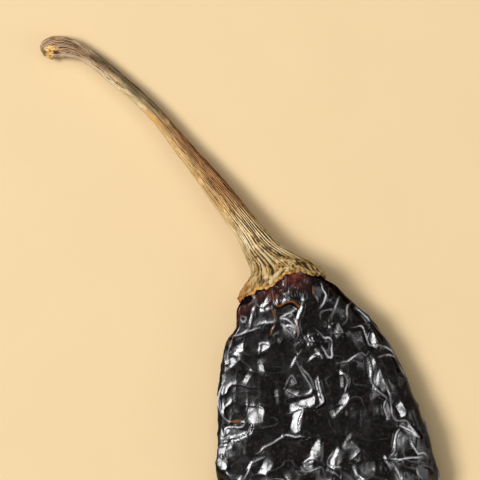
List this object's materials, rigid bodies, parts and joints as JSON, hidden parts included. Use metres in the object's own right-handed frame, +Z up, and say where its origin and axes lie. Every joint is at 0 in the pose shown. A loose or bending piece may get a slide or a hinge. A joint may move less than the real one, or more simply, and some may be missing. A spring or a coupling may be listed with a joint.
{
  "type": "dried chilli pepper",
  "caption": "Broad flat dried chilli: black wrinkled glossy pod lying on its side, with a ribbed woody stem that curves to a hooked end and flares into a ragged calyx cap.",
  "frame": {"origin": "middle of the bottom of the chilli's box, on the surface it lies on", "axes": "+Z up; +Y towards the stem's hooked end, -Y towards the pod's tip; +X to the right, seen from above with the stem at the top"},
  "size_m": [0.1038, 0.181, 0.0179],
  "materials": {
    "pod_skin": "semi-gloss, wrinkled",
    "dried_stem": "matt, fibrous"
  },
  "bodies": {
    "root": {"pod": "pod_skin", "stem_with_calyx": "dried_stem"}
  },
  "joints": []
}
